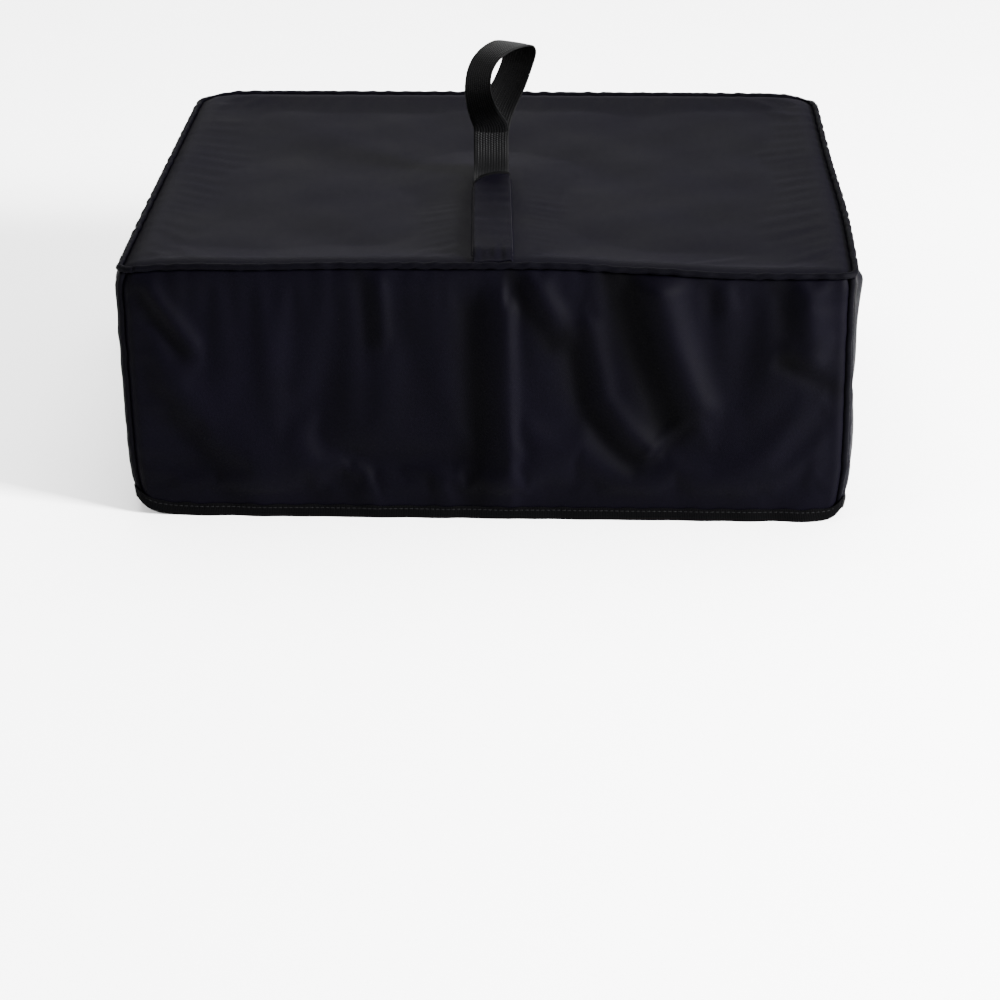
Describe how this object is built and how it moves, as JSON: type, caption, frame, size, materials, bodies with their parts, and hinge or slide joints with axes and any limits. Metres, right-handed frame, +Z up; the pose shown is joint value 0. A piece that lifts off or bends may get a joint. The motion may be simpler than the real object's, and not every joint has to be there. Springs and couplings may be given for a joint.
{
  "type": "printer dust cover",
  "caption": "Box-shaped nylon dust cover for a desktop printer, open underneath, with piped seams, a bound hem and a webbing lifting loop on top.",
  "frame": {"origin": "middle of the floor under the open bottom of the cover", "axes": "+Z up, +X along the front towards the right side, the front panel faces -Y"},
  "size_m": [0.46, 0.395, 0.2591],
  "materials": {
    "cloth": "coated woven nylon, faint sheen",
    "piping": "bias strip over a cord",
    "tape": "ribbed binding tape",
    "webbing": "flat woven webbing"
  },
  "bodies": {
    "cover": {"top_panel": "cloth", "front_panel": "cloth", "rear_panel": "cloth", "left_panel": "cloth", "right_panel": "cloth", "front_hem_tape": "tape", "rear_hem_tape": "tape", "left_hem_tape": "tape", "right_hem_tape": "tape", "top_piping": "piping", "top_seam_tape": "tape", "front_left_piping": "piping", "front_right_piping": "piping", "rear_left_piping": "piping", "rear_right_piping": "piping", "front_left_seam_tape": "tape", "front_right_seam_tape": "tape", "rear_left_seam_tape": "tape", "rear_right_seam_tape": "tape", "handle_lower_tail": "webbing", "handle_upper_tail": "webbing", "handle_sleeve": "cloth", "handle_backing_patch": "cloth"},
    "handle": {"handle_loop": "webbing"}
  },
  "joints": [
    {"name": "handle_fold", "type": "hinge", "parent": "cover", "child": "handle", "pos_m": [-0.0046, 0.01, 0.1956], "axis": [1, 0, 0], "range_deg": [-85, 85], "stiffness_Nm_per_rad": 0.01}
  ]
}
